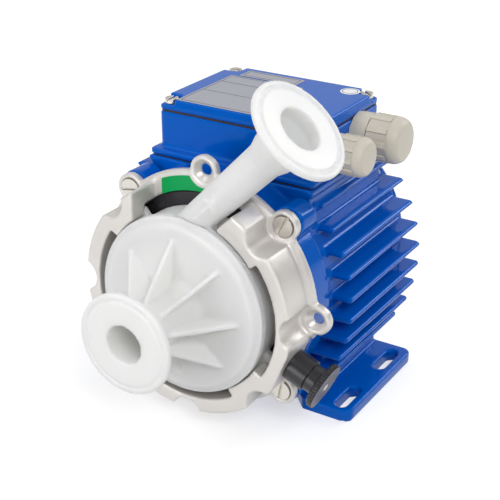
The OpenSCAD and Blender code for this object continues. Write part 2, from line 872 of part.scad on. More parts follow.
// Black plate with the cup that receives the containment can
module motor_plate() {
  color([0.12, 0.12, 0.12]) difference() {
    union() {
      turned([
        [plate_r - 0.5, flange_front],
        [plate_r, flange_front + 0.5],
        [plate_r, flange_back],
        [front_bore_d / 2 - fit_gap, flange_back],
        [front_bore_d / 2 - fit_gap, flange_back + plate_spigot],
        [cup_r + 4, flange_back + plate_spigot],
        [cup_r, flange_back + plate_spigot + 1],
        [cup_r, cup_back],
        [0, cup_back],
        [0, cup_back - cup_wall],
        [cup_r - cup_wall, cup_back - cup_wall],
        [cup_r - cup_wall, flange_front]
      ]);
      slab(cup_back, cup_back + sensor_post) around(3, sensor_r - 5, 30) circle(3);
    }
    station(flange_front) around(4, plate_pcd / 2, plate_screw_start) {
      translate([0, 0, -20]) cylinder(r = plate_screw_r + fit_gap, h = 30);
      translate([0, 0, plate_screw_r - plate_head_r])
        cylinder(r1 = plate_screw_r, r2 = plate_head_r, h = plate_head_r - plate_screw_r);
      cylinder(r = plate_head_r, h = 1);
    }
    slab(cup_back + 0.5, cup_back + far) around(3, sensor_r - 5, 30) circle(0.9);
  }
}

plate_screw_r = 1.4;
plate_head_r = 2.8;

module plate_screws() {
  color("silver") station(flange_front) around(4, plate_pcd / 2, plate_screw_start)
    flush_screw(plate_screw_r, flange_t + 3, plate_head_r);
}

function fin_height(k) = fin_top - k * fin_pitch;
function fin_tip(k) =
  let (y = fin_height(k) + fin_arc_drop) fin_reach - fin_arc_r + sqrt(fin_arc_r * fin_arc_r - y * y);

module fin_2d(tip, y) {
  translate([0, y - fin_t / 2]) square([tip - fin_t / 2, fin_t]);
  translate([tip - fin_t / 2, y]) circle(fin_t / 2, $fn = 32);
}

module fins() {
  slab(fin_front, housing_back) for (k = [0:fin_count - 1]) {
    fin_2d(k == 0 ? top_fin_short : fin_tip(k), fin_height(k));
    mirror([1, 0]) fin_2d(k == 0 ? top_fin_long : fin_tip(k), fin_height(k));
  }
}

foot_low = -shaft_h;
foot_top = foot_low + foot_t;

// One foot seen from above, with its front inner corner cut off
module foot_2d() {
  w = foot_outer - foot_inner;
  len = foot_back - foot_front;
  difference() {
    translate([foot_front + len / 2 - slot_mid, foot_inner + w / 2]) round_rect(len, w, foot_corner);
    translate([foot_front - slot_mid, foot_inner]) rotate(45)
      square(foot_chamfer * sqrt(2), center = true);
    for (x = [-1, 1]) translate([x * slot_pitch / 2, slot_gauge / 2]) slot_2d();
  }
}

module slot_2d() {
  half = (foot_slot_len - foot_slot_w) / 2;
  square([2 * half, foot_slot_w], center = true);
  for (x = [-1, 1]) translate([x * half, 0]) circle(d = foot_slot_w);
}

module foot(side) {
  mirror([0, side > 0 ? 1 : 0, 0]) linear_extrude(foot_t) foot_2d();
  inner = foot_inner + 1;
  across = side > 0 ? [inner, inner + web_t] : [-inner - web_t, -inner];
  block([foot_front + foot_chamfer, foot_back - 2], across, [foot_top - 1, -30]);
}

// Posts inside the barrel for the rear cover's screws
module rear_posts() {
  slab(housing_back - 14, housing_back) around(rear_screws_n, rear_pcd / 2, 45) circle(6);
}

module housing_outer() {
  slab(flange_back, bell_back) circle(d = bell_d);
  slab(bell_back - eps, housing_back) circle(d = housing_d);
  slab(flange_back, flange_back + boss_len) around(4, ear_ring_r, 45) circle(boss_r);
  block([bell_back, base_back - 1], [-box_w / 2 - 1.5, box_w / 2 + 1.5], [20, pad_h]);
  block([base_front - 0.6, base_back], [-base_w / 2, base_w / 2], [pad_h - base_t, pad_h]);
  fins();
  foot(1);
  foot(-1);
}

module motor_housing() {
  color([0, 0.29, 0.68]) difference() {
    union() {
      difference() {
        housing_outer();
        slab(wall_back, housing_back + 1) circle(bore_r);
      }
      slab(shoulder_depth, shoulder_depth + shoulder_size) ring_2d(bore_r + 1, bore_r - shoulder_size);
      intersection() {
        rear_posts();
        slab(0, far) circle(bore_r + 1);
      }
    }
    slab(flange_back - 1, wall_back + 1) circle(d = front_bore_d);
    slab(flange_back - 1, flange_back + boss_len - 1.5) around(4, ear_ring_r, 45) circle(bolt_d / 2 + 0.05);
    slab(flange_back - 1, flange_back + 4) around(4, plate_pcd / 2, plate_screw_start) circle(plate_screw_r);
    slab(housing_back - 12, housing_back + 1) around(rear_screws_n, rear_pcd / 2, 45) circle(small_screw_r);
    passage(pad_h + 1, bore_r - 4);
    block([bell_back, base_back], [-base_w / 2, base_w / 2], [pad_h, pad_h + 2]);
    for (p = BOX_SCREWS) at_box(p[0], p[1], pad_h) translate([0, 0, -8]) cylinder(r = small_screw_r, h = 9);
    slab(shoulder_depth - 1, shoulder_depth + 10) around(4, standoff_ring_r) circle(1.5);
  }
}

small_screw_r = 1.95;
standoff_ring_r = bore_r - shoulder_size / 2 - 0.6;

module stator_yoke() {
  color([0.35, 0.36, 0.38]) slab(shoulder_depth - yoke_len, shoulder_depth)
    ring_2d(bore_r - fit_gap, cup_r + 1);
}

claw_in = cup_r + claw_gap;
leg_in = claw_in + 7;
claw_front = wall_back + 0.5;
leg_back = shoulder_depth - yoke_len;

module stator_claws() {
  color([0.42, 0.43, 0.45]) {
    slab(claw_front, claw_front + tip_len) for (i = [0:claw_count - 1]) rotate(i * 360 / claw_count)
      translate([claw_in, -claw_w / 2]) square([leg_in + claw_t - claw_in, claw_w]);
    slab(claw_front + tip_len - eps, leg_back) for (i = [0:claw_count - 1]) rotate(i * 360 / claw_count)
      translate([leg_in, -claw_w / 2]) square([claw_t, claw_w]);
  }
}

coil_front = claw_front + tip_len + 1;
coil_back = leg_back - 1;

// Rectangle round a claw's leg, grown by a margin
module leg_2d(grow) {
  translate([leg_in - grow, -claw_w / 2 - grow]) square([claw_t + 2 * grow, claw_w + 2 * grow]);
}

module each_leg() {
  for (i = [0:claw_count - 1]) rotate(i * 360 / claw_count) children();
}

module coil_bobbins() {
  clear = 0.1;
  flange = bobbin_t + coil_t;
  color([0.9, 0.88, 0.8]) {
    slab(coil_front, coil_back) each_leg() difference() {
      leg_2d(clear + bobbin_t);
      leg_2d(clear);
    }
    for (front = [coil_front, coil_back - bobbin_t]) slab(front, front + bobbin_t) each_leg() difference() {
      leg_2d(flange);
      leg_2d(clear);
    }
  }
}

module stator_coils() {
  color([0.72, 0.4, 0.2]) slab(coil_front + bobbin_t, coil_back - bobbin_t) each_leg() difference() {
    leg_2d(bobbin_t + coil_t - 0.2);
    leg_2d(bobbin_t + 0.1);
  }
}

sensor_front = cup_back + sensor_post;

module sensor_board() {
  color([0.05, 0.35, 0.15]) slab(sensor_front, sensor_front + board_t) difference() {
    circle(sensor_r);
    around(3, sensor_r - 5, 30) circle(1.1);
  }
}

module sensor_screws() {
  color("silver") station(sensor_front + board_t) around(3, sensor_r - 5, 30) mirror([0, 0, 1]) {
    cylinder(r = 2, h = 1.2);
    translate([0, 0, -board_t - 1.2]) cylinder(r = 0.9, h = board_t + 1.2 + eps);
  }
}

module hall_sensors() {
  color([0.08, 0.08, 0.08]) slab(sensor_front - 1.2, sensor_front) around(3, sensor_r - 7, 90)
    square([3, 4], center = true);
}

controller_front = shoulder_depth + shoulder_size + standoff_len;

module board_standoffs() {
  color([0.8, 0.7, 0.35]) station(controller_front) around(4, standoff_ring_r) difference() {
    union() {
      translate([0, 0, 0]) cylinder(r = 2.4, h = standoff_len, $fn = 6);
      translate([0, 0, standoff_len - eps]) cylinder(r = 1.4, h = 3);
    }
    translate([0, 0, -eps]) cylinder(r = 1.25, h = standoff_len - 2);
  }
}

module controller_board() {
  color([0.05, 0.35, 0.15]) slab(controller_front, controller_front + board_t) difference() {
    circle(bore_r - controller_gap);
    around(4, standoff_ring_r) circle(1.6);
    circle(6);
  }
}

module board_screws() {
  color("silver") station(controller_front + board_t) around(4, standoff_ring_r) mirror([0, 0, 1]) {
    cylinder(r = 2.2, h = 1.4);
    translate([0, 0, -board_t - 3]) cylinder(r = 1.2, h = board_t + 3 + eps);
  }
}

board_back = controller_front + board_t;

module capacitors() {
  color([0.15, 0.15, 0.35]) slab(board_back, board_back + capacitor_len)
    for (x = [-1, 0, 1]) translate([x * (capacitor_d + 2), 2 * capacitor_d]) circle(d = capacitor_d);
}

module power_stage() {
  color([0.08, 0.08, 0.08]) {
    slab(board_back, board_back + 5) for (x = [-1:1]) translate([x * 20, -22]) square([14, 11], center = true);
    slab(board_back, board_back + 2) translate([22, 2]) square([10, 10], center = true);
    slab(board_back, board_back + 2) translate([-20, 2]) square([12, 8], center = true);
  }
}

rear_front = housing_back + gasket_t;

module rear_gasket() {
  color([0.15, 0.13, 0.12]) slab(housing_back, rear_front) difference() {
    ring_2d(housing_d / 2 - 1, rear_pcd / 2 - 6);
    around(rear_screws_n, rear_pcd / 2, 45) circle(small_screw_r + 0.2);
  }
}

module rear_cover() {
  r = housing_d / 2 - 0.5;
  color([0, 0.29, 0.68]) difference() {
    union() {
      slab(rear_front, rear_front + rear_t - 1) circle(r);
      station(rear_front + rear_t) cylinder(r1 = r - 1, r2 = r, h = 1 + eps);
      slab(rear_front, rear_front + rear_t + 2.5) for (k = [-2:2])
        translate([0, k * 13]) square([rear_rib_len, 2.4], center = true);
    }
    slab(rear_front - 1, far) around(rear_screws_n, rear_pcd / 2, 45) circle(small_screw_r + 0.2);
  }
}

module rear_screws() {
  color([0.75, 0.72, 0.68]) station(rear_front + rear_t) around(rear_screws_n, rear_pcd / 2, 45)
    mirror([0, 0, 1]) slotted_screw(small_screw_r - 0.05, rear_t + 8, 3.6, 2.4);
}

base_low = pad_h + gasket_t;
base_top = base_low + base_t;
floor_top = base_low + box_floor;
box_mid = (box_front + box_back) / 2;
box_len = box_back - box_front;
large_gland_depth = box_back - large_gland_in;
small_gland_depth = box_front + small_gland_in;
BOX_SCREWS = [for (u = [-1, 1], d = [base_front + 14, base_back - 14]) [u * 26, d]];

// Places children at a point across and a depth, at a height above the pump axis
module at_box(u, depth, height) {
  translate([depth - slot_mid, -u, shaft_h + height]) children();
}

module passage(top, bottom) {
  at_box(0, passage_depth, bottom) cylinder(d = passage_d, h = top - bottom);
}

module base_2d() {
  round_rect(base_back - base_front, base_w, box_corner);
}

module box_gasket() {
  color([0.15, 0.13, 0.12]) difference() {
    raised(pad_h, base_low, base_front, base_back) difference() {
      round_rect(base_back - base_front - 2, base_w - 2, box_corner);
      for (p = BOX_SCREWS) translate([p[1] - (base_front + base_back) / 2, -p[0]]) circle(small_screw_r + 0.2);
    }
    passage(base_low + 1, pad_h - 1);
  }
}

module box_post_positions() {
  for (x = [-1, 1], y = [-1, 1])
    translate([x * (box_len / 2 - lid_screw_in), y * (box_w / 2 - lid_screw_in)]) children();
}

module terminal_box() {
  color([0, 0.29, 0.68]) difference() {
    union() {
      difference() {
        union() {
          raised(base_low, base_top, base_front, base_back) base_2d();
          raised(base_low, box_top, box_front, box_back) round_rect(box_len, box_w, box_corner);
        }
        raised(floor_top, box_top + 1, box_front, box_back)
          square([box_len - 2 * box_wall, box_w - 2 * box_wall], center = true);
      }
      raised(floor_top - eps, box_top, box_front, box_back) box_post_positions() circle(4.2);
    }
    raised(box_top - 12, box_top + 1, box_front, box_back) box_post_positions() circle(small_screw_r);
    passage(floor_top + 1, base_low - 1);
    for (p = BOX_SCREWS) at_box(p[0], p[1], base_low - 1) cylinder(r = small_screw_r + 0.2, h = 10);
    for (x = [-1, 1]) at_box(x * fixing_u, fixing_depth, floor_top - 1.5) cylinder(r = 1.2, h = 5);
    gland_hole(large_gland_depth, large_thread_r);
    gland_hole(small_gland_depth, small_thread_r);
    on_gland(large_gland_depth) cylinder(r = large_gland_r + 0.2, h = box_wall);
  }
}

module gland_hole(depth, r) {
  at_box(box_w / 2 + 1, depth, gland_h) rotate([-90, 0, 0]) cylinder(r = r + 0.05, h = box_wall + 8);
}

module box_screws() {
  color([0.75, 0.72, 0.68]) for (p = BOX_SCREWS) at_box(p[0], p[1], floor_top)
    slotted_screw(small_screw_r - 0.05, box_floor + gasket_t + 7, 3.4, 2.2);
}

module passage_grommet() {
  color([0.1, 0.1, 0.1]) at_box(0, passage_depth, 0) difference() {
    union() {
      translate([0, 0, base_low - 1]) cylinder(d = passage_d - 0.1, h = box_floor + 1.5);
      translate([0, 0, floor_top]) cylinder(d = passage_d + 4, h = 1.4);
    }
    translate([0, 0, base_low - 2]) cylinder(d = passage_d - 5, h = 12);
  }
}

block_front = box_front + 10;
fixing_u = 18.6;
fixing_depth = block_front + 7;
terminal_h = 9;
terminal_top = floor_top + terminal_h;

module terminal_block() {
  color([0.88, 0.86, 0.8]) difference() {
    block([block_front, block_front + 14], [-21, 21], [floor_top, terminal_top]);
    for (k = [-2:2]) at_box(k * 7, block_front + 5, terminal_top - 4) cylinder(d = 4.4, h = 5);
    for (k = [-2:2]) block([block_front + 9, block_front + 15], [k * 7 - 2, k * 7 + 2], [floor_top + 2, floor_top + 6]);
    for (x = [-1, 1]) at_box(x * fixing_u, fixing_depth, floor_top - 1) cylinder(r = 1.3, h = 20);
  }
}

module terminal_screws() {
  color([0.75, 0.72, 0.68]) for (k = [-2:2]) at_box(k * 7, block_front + 5, terminal_top - 4) difference() {
    cylinder(d = 4.2, h = 3);
    translate([-3, -0.4, 2]) cube([6, 0.8, 2]);
  }
}

module terminal_fixings() {
  color([0.75, 0.72, 0.68]) for (x = [-1, 1]) at_box(x * fixing_u, fixing_depth, terminal_top)
    slotted_screw(1.15, terminal_h + 1, 1.9, 1.2);
}

lid_low = box_top + lid_gasket_t;
lid_mid = lid_low + lid_edge;
lid_top = lid_mid + lid_rise;

module lid_gasket() {
  color([0.22, 0.17, 0.15]) raised(box_top, lid_low, box_front, box_back) difference() {
    round_rect(box_len - 0.8, box_w - 0.8, box_corner);
    square([box_len - 2 * box_wall, box_w - 2 * box_wall], center = true);
    box_post_positions() circle(small_screw_r + 0.2);
  }
}

module box_lid() {
  color([0, 0.29, 0.68]) difference() {
    union() {
      raised(lid_low, lid_mid, box_front, box_back) round_rect(box_len, box_w, box_corner);
      raised(lid_mid - eps, lid_top, box_front, box_back) difference() {
        square([box_len - 1, box_w - 1], center = true);
        for (x = [-1, 1], y = [-1, 1])
          translate([x * box_len / 2, y * box_w / 2]) round_rect(2 * lid_notch, 2 * lid_notch, 2);
      }
    }
    raised(lid_low - 1, lid_mid + 1, box_front, box_back) box_post_positions() circle(small_screw_r + 0.2);
  }
}

module lid_screws() {
  color([0.75, 0.72, 0.68]) raised_screws();
}

module raised_screws() {
  translate([box_mid - slot_mid, 0, shaft_h + lid_mid])
    for (x = [-1, 1], y = [-1, 1])
      translate([x * (box_len / 2 - lid_screw_in), y * (box_w / 2 - lid_screw_in), 0])
        rotate(30 + 50 * x + 25 * y) slotted_screw(small_screw_r - 0.05, lid_edge + lid_gasket_t + 9, 3.5, 2.6);
}

// A thin plate on the lid between two depths and two places across
module lid_plate(depths, across, corner) {
  at_box((across[0] + across[1]) / 2, (depths[0] + depths[1]) / 2, lid_top)
    linear_extrude(label_t) round_rect(depths[1] - depths[0], across[1] - across[0], corner);
}

rating_front = box_front + 1.4;
plate_left = plate_in - box_w / 2;
strip_front = rating_front + rating_len + 1.6;
strip_left = plate_left + (rating_w - strip_w) * 0.4;

module rating_plate() {
  color([0.85, 0.86, 0.88]) 
    lid_plate([rating_front, rating_front + rating_len], [plate_left, plate_left + rating_w], 1);
}

module strip_plate() {
  color([0.82, 0.8, 0.76]) 
    lid_plate([strip_front, strip_front + strip_len], [strip_left, strip_left + strip_w], 0.6);
}

module round_sticker() {
  color([0.95, 0.96, 0.98]) 
    at_box(box_w / 2 - sticker_in, box_back - sticker_in + 2, lid_top) cylinder(d = sticker_d, h = label_t);
}

// Places children on a gland's axis at the box wall, +z outwards
module on_gland(depth) {
  at_box(box_w / 2, depth, gland_h) rotate([90, 0, 0]) children();
}

module gland_body(r, thread_r) {
  hex_len = gland_hex_ratio * r;
  difference() {
    union() {
      translate([0, 0, -box_wall - 2]) cylinder(r = thread_r, h = box_wall + 2 + eps);
      cylinder(r = r * 0.96, h = hex_len, $fn = 12);
      translate([0, 0, hex_len - eps]) cylinder(r = thread_r, h = r * 0.7);
    }
    translate([0, 0, -box_wall - 3]) cylinder(r = thread_r * 0.62, h = 40);
    translate([0, 0, hex_len]) cylinder(r = thread_r * 0.8, h = 40);
  }
}

module gland_seal(r, thread_r) {
  hex_len = gland_hex_ratio * r;
  translate([0, 0, hex_len]) difference() {
    cylinder(r = thread_r * 0.8 - 0.05, h = r * 0.7 - 0.2);
    translate([0, 0, -1]) cylinder(r = thread_r * 0.45, h = 40);
  }
}

// Closed cap with grip ribs on its lower part and a rounded end
module gland_cap(r, thread_r) {
  foot = gland_hex_ratio * r + 0.5;
  len = gland_cap_ratio * r;
  rib_len = len * 0.6;
  ribs = 10;
  difference() {
    union() {
      translate([0, 0, foot]) rotate_extrude() polygon([
        [0, 0], [r * 0.95, 0], [r * 0.95, rib_len], [r * 0.97, rib_len + 0.5],
        [r * 0.99, len * 0.68], [r * 0.99, len * 0.74], [r * 0.965, len * 0.82],
        [r * 0.92, len * 0.9], [r * 0.86, len * 0.96], [r * 0.78, len], [0, len]
      ]);
      translate([0, 0, foot]) for (i = [0:ribs - 1]) rotate(i * 360 / ribs)
        translate([r * 0.8, -r * 0.11, 0]) cube([r * 0.195, r * 0.22, rib_len + 0.4]);
    }
    translate([0, 0, foot - 1]) cylinder(r = thread_r + 0.05, h = 1 + rib_len);
  }
}

gland_plastic = [0.82, 0.8, 0.75];

module large_gland_body() {
  color(gland_plastic) on_gland(large_gland_depth) gland_body(large_gland_r, large_thread_r);
}

module large_gland_seal() {
  color([0.1, 0.1, 0.1]) on_gland(large_gland_depth) gland_seal(large_gland_r, large_thread_r);
}

module large_gland_cap() {
  color(gland_plastic) on_gland(large_gland_depth) gland_cap(large_gland_r, large_thread_r);
}

module small_gland_body() {
  color(gland_plastic) on_gland(small_gland_depth) gland_body(small_gland_r, small_thread_r);
}

module small_gland_seal() {
  color([0.1, 0.1, 0.1]) on_gland(small_gland_depth) gland_seal(small_gland_r, small_thread_r);
}

module small_gland_cap() {
  color(gland_plastic) on_gland(small_gland_depth) gland_cap(small_gland_r, small_thread_r);
}

pump_cover();
pump_casing();
casing_oring();
impeller_shrouds();
rotor_magnet();
rotor_sleeve();
mounting_ring();
ring_screws();
lock_label();
lock_sleeve();
lock_spring();
lock_pin();
lock_knob();
knob_rivet();
motor_plate();
plate_screws();
motor_housing();
stator_claws();
coil_bobbins();
stator_coils();
stator_yoke();
sensor_board();
sensor_screws();
hall_sensors();
controller_board();
board_standoffs();
board_screws();
capacitors();
power_stage();
rear_gasket();
rear_cover();
rear_screws();
box_gasket();
terminal_box();
box_screws();
passage_grommet();
terminal_block();
terminal_screws();
terminal_fixings();
lid_gasket();
box_lid();
lid_screws();
rating_plate();
strip_plate();
round_sticker();
large_gland_body();
large_gland_seal();
large_gland_cap();
small_gland_body();
small_gland_seal();
small_gland_cap();
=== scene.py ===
import json
import math
import bpy
import bmesh
from mathutils import Matrix, Vector


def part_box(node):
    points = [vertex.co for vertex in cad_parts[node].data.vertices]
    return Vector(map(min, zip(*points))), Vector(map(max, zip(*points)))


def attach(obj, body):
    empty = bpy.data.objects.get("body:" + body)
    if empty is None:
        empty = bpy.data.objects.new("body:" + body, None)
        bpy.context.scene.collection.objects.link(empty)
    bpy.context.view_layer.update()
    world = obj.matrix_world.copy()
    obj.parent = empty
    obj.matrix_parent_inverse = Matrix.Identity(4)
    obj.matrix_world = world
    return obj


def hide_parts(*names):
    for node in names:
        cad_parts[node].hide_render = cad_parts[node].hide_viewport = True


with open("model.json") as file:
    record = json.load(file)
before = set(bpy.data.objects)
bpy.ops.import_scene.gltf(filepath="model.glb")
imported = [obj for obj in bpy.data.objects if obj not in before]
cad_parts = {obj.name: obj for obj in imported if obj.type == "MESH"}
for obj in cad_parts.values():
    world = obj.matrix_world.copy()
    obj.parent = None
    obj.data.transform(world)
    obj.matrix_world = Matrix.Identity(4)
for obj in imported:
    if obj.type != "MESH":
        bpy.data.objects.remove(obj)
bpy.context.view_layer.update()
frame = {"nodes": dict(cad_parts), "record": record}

# Magnetically levitated centrifugal pump: the dressed model, in metres, in the frame of the solids.
# +X runs rearwards along the pump axis, +Y to the left as seen from the inlet, +Z up.

NODES = frame["nodes"]
SHAFT_HEIGHT = 0.071
RIM_X = -0.085
BODY_OF = {
    node: body for body, nodes in frame["record"]["behaviour"]["bodies"].items() for node in nodes
}


# Camera, worked out from the ferrules and the feet in the photograph

CAMERA_TURN = math.radians(32.03)
CAMERA_RISE = math.radians(25.25)
CAMERA_OFFSET = (0.034184, 0.027467, 0.555667)
FOCAL_PIXELS = 1143.668
PICTURE_PIXELS = 500
SENSOR_WIDTH = 36


def make_camera():
    """Places the camera by its turn round the object, its rise above it and its offset from the inlet rim."""
    turn, rise = CAMERA_TURN, CAMERA_RISE
    right = Vector((math.sin(turn), -math.cos(turn), 0))
    up = Vector((math.cos(turn) * math.sin(rise), math.sin(turn) * math.sin(rise), math.cos(rise)))
    back = right.cross(up)
    data = bpy.data.cameras.new("camera")
    data.sensor_width = SENSOR_WIDTH
    data.lens = FOCAL_PIXELS / PICTURE_PIXELS * data.sensor_width
    camera = bpy.data.objects.new("camera", data)
    place = Vector((RIM_X, 0, SHAFT_HEIGHT))
    for share, axis in zip(CAMERA_OFFSET, (right, up, back)):
        place += share * axis
    camera.matrix_world = Matrix.Translation(place) @ Matrix((right, up, back)).transposed().to_4x4()
    bpy.context.scene.collection.objects.link(camera)
    bpy.context.scene.camera = camera


make_camera()


# Node trees

def add_node(tree, kind, values=None, **settings):
    """Adds a node. values go to its sockets, settings to the node itself."""
    made = tree.nodes.new(kind)
    for name, value in settings.items():
        setattr(made, name, value)
    for name, value in (values or {}).items():
        made.inputs[name].default_value = value
    return made


def ramp(tree, source, low, high, from_low=0.3, from_high=0.7):
    """Maps a grey value to a range."""
    made = add_node(tree, "ShaderNodeMapRange", {
        "From Min": from_low, "From Max": from_high, "To Min": low, "To Max": high})
    tree.links.new(source, made.inputs["Value"])
    return made.outputs["Result"]


def shades(tree, source, dark, light):
    """Mixes two colours by a grey value."""
    made = add_node(tree, "ShaderNodeMix", data_type="RGBA")
    made.inputs[6].default_value = (*dark, 1)
    made.inputs[7].default_value = (*light, 1)
    tree.links.new(source, made.inputs["Factor"])
    return made.outputs[2]


def noise(tree, scale, detail=3.0, roughness=0.5):
    """A grey noise fixed to the object, with about scale patches in a metre."""
    place = add_node(tree, "ShaderNodeTexCoord")
    made = add_node(tree, "ShaderNodeTexNoise", {"Scale": scale, "Detail": detail, "Roughness": roughness})
    tree.links.new(place.outputs["Object"], made.inputs["Vector"])
    return made.outputs["Fac"]


def scaled(colour, factor):
    """A colour made darker or lighter, with no channel over 1."""
    return tuple(min(1.0, c * factor) for c in colour)


def stripe_relief(tree, axis, pitch, depth, normal):
    """Even ridges across an axis, such as wire beside wire, added to a normal."""
    place = add_node(tree, "ShaderNodeTexCoord")
    wave = add_node(tree, "ShaderNodeTexWave", {"Scale": math.pi / 10 / pitch}, bands_direction=axis)
    tree.links.new(place.outputs["Object"], wave.inputs["Vector"])
    relief = add_node(tree, "ShaderNodeBump", {"Strength": 1.0, "Distance": depth})
    tree.links.new(wave.outputs["Fac"], relief.inputs["Height"])
    tree.links.new(normal, relief.inputs["Normal"])
    return relief.outputs["Normal"]


def finish(name, colour, rough, metal=0.0, spread=0.06, rough_spread=0.05, patch=60, grain=1500,
           bump=0.02, bump_size=0.00005, soft=0.0004, stripes=None, **shader):
    """A material whose colour and roughness vary in soft patches, with a fine grain and softened edges.

    stripes is (axis, pitch, depth) for a surface with even ridges.
    """
    made = bpy.data.materials.new(name)
    made.use_nodes = True
    tree = made.node_tree
    surface = tree.nodes["Principled BSDF"]
    surface.inputs["Metallic"].default_value = metal
    for key, value in shader.items():
        surface.inputs[key.replace("_", " ")].default_value = value
    patches = noise(tree, patch)
    links = tree.links
    links.new(shades(tree, patches, scaled(colour, 1 - spread), scaled(colour, 1 + spread)),
              surface.inputs["Base Color"])
    links.new(ramp(tree, patches, rough - rough_spread, rough + rough_spread), surface.inputs["Roughness"])
    grains = noise(tree, grain, 2.0)
    edge = add_node(tree, "ShaderNodeBevel", {"Radius": soft}, samples=6)
    relief = add_node(tree, "ShaderNodeBump", {"Strength": bump, "Distance": bump_size})
    links.new(grains, relief.inputs["Height"])
    links.new(edge.outputs["Normal"], relief.inputs["Normal"])
    normal = relief.outputs["Normal"]
    if stripes:
        normal = stripe_relief(tree, *stripes, normal)
    links.new(normal, surface.inputs["Normal"])
    return made


def translucent_plastic():
    """Natural polypropylene: milky, with light passing through and a satin skin."""
    made = finish("natural_plastic", (0.93, 0.93, 0.905), 0.38, spread=0.012, patch=40, grain=700, bump=0.05,
                  soft=0.0006, IOR=1.49)
    surface = made.node_tree.nodes["Principled BSDF"]
    surface.inputs["Transmission Weight"].default_value = 0.12
    surface.inputs["Subsurface Weight"].default_value = 1.0
    surface.inputs["Subsurface Radius"].default_value = (0.006, 0.006, 0.0055)
    surface.inputs["Subsurface Scale"].default_value = 1.0
    return made


MATERIALS = {
    "housing_paint": finish(
        "blue_paint", (0.0, 0.10, 0.50), 0.11, spread=0.06, rough_spread=0.02, patch=25, grain=420,
        bump=0.03, bump_size=0.0002, soft=0.0006, Specular_Tint=(0.02, 0.3, 1.0, 1),
        Specular_IOR_Level=0.28, Coat_Weight=0.1, Coat_Roughness=0.03),
    "ring_aluminium": finish(
        "blasted_aluminium", (0.69, 0.665, 0.64), 0.36, metal=0.42, spread=0.05, patch=90, grain=3500,
        bump=0.3, bump_size=0.0001, soft=0.0008),
    "natural_plastic": translucent_plastic(),
    "impeller_plastic": finish("impeller_plastic", (0.80, 0.80, 0.76), 0.4, spread=0.03),
    "magnet": finish("magnet_plating", (0.52, 0.54, 0.56), 0.3, metal=1.0),
    "steel": finish(
        "nickel_steel", (0.66, 0.63, 0.58), 0.28, metal=1.0, grain=2600, bump=0.12, soft=0.00025),
    "black_plastic": finish(
        "black_plastic", (0.014, 0.012, 0.0165), 0.3, grain=2400, bump=0.2, soft=0.00015),
    "rubber": finish("dark_rubber", (0.035, 0.024, 0.02), 0.72, grain=1200, bump=0.3, soft=0.0002),
    "green_label": finish(
        "green_film", (0.0, 0.34, 0.085), 0.35, spread=0.03, soft=0.0001, Specular_IOR_Level=0.2),
    "silver_label": finish(
        "silver_film", (0.42, 0.43, 0.49), 0.38, metal=0.4, spread=0.05, patch=220, soft=0.0001),
    "white_label": finish("white_film", (0.85, 0.87, 0.9), 0.4, spread=0.02, soft=0.0001),
    "gland_plastic": finish(
        "gland_plastic", (0.60, 0.56, 0.475), 0.42, spread=0.03, grain=1900, bump=0.12, soft=0.0003),
    "lamination_steel": finish(
        "lamination_steel", (0.32, 0.33, 0.35), 0.5, metal=0.9, bump=0.2, stripes=("Z", 0.0005, 0.0001)),
    "winding_copper": finish(
        "enamelled_copper", (0.62, 0.22, 0.08), 0.25, metal=0.9, stripes=("X", 0.0007, 0.0003)),
    "circuit_board": finish("solder_resist", (0.01, 0.12, 0.04), 0.3, spread=0.2, patch=500),
    "brass": finish("plain_brass", (0.72, 0.52, 0.22), 0.3, metal=1.0),
}
SLOT_OF = {entry["node"]: entry["material_slot"] for entry in frame["record"]["subparts"]}


# Solids with real rounded edges. Edges over SHARP_ANGLE are rounded, and the rest is shaded smooth.

SHARP_ANGLE = math.radians(32)
FLAT_ANGLE = math.radians(0.4)
WELD_DISTANCE = 1e-6
EDGE_SEGMENTS = 2
SMOOTH_STEP = 0.5
FLAT_FACE_PULL = 80


def copy_of(node, ending):
    """A new object with a copy of a node's mesh, in the finish of the node's slot."""
    mesh = NODES[node].data.copy()
    mesh.name = node + ending
    mesh.materials.clear()
    mesh.materials.append(MATERIALS[SLOT_OF[node]])
    piece = bpy.data.objects.new(node + ending, mesh)
    bpy.context.scene.collection.objects.link(piece)
    return piece


def stand_for(piece, node):
    """The piece moves with the node's body and is shown in the node's place."""
    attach(piece, BODY_OF[node])
    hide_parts(node)


def softened(node, width):
    """A copy of a solid with its edges rounded."""
    piece = copy_of(node, "_soft")
    work = bmesh.new()
    work.from_mesh(piece.data)
    bmesh.ops.remove_doubles(work, verts=work.verts, dist=WELD_DISTANCE)
    bmesh.ops.dissolve_limit(work, angle_limit=FLAT_ANGLE, verts=work.verts, edges=work.edges)
    work.to_mesh(piece.data)
    work.free()
    piece.data.shade_smooth()
    piece.data.set_sharp_from_angle(angle=SHARP_ANGLE)
    bevel = piece.modifiers.new("rounding", "BEVEL")
    bevel.width = width
    bevel.segments = EDGE_SEGMENTS
    bevel.limit_method = "ANGLE"
    bevel.angle_limit = SHARP_ANGLE
    bevel.harden_normals = True
    bevel.use_clamp_overlap = True
    stand_for(piece, node)


# The lock pin's line leaves the shaft's axis at right angles, LOCK_ANGLE below level. Its hole in the
# ring is stepped: places along it are distances from the shaft's axis, and bores are radii.
LOCK_ANGLE = math.radians(22.5)
HOLE_SPAN = (0.045, 0.062)
FLOOR_SPAN = (0.0537, 0.0551)
PIN_BORE = 0.00240
COLLAR_BORE = 0.00460
COLLAR_FLOOR = 0.0543
FLOOR_MARGIN = 0.0004
CORNER_WIDTH = 0.0011


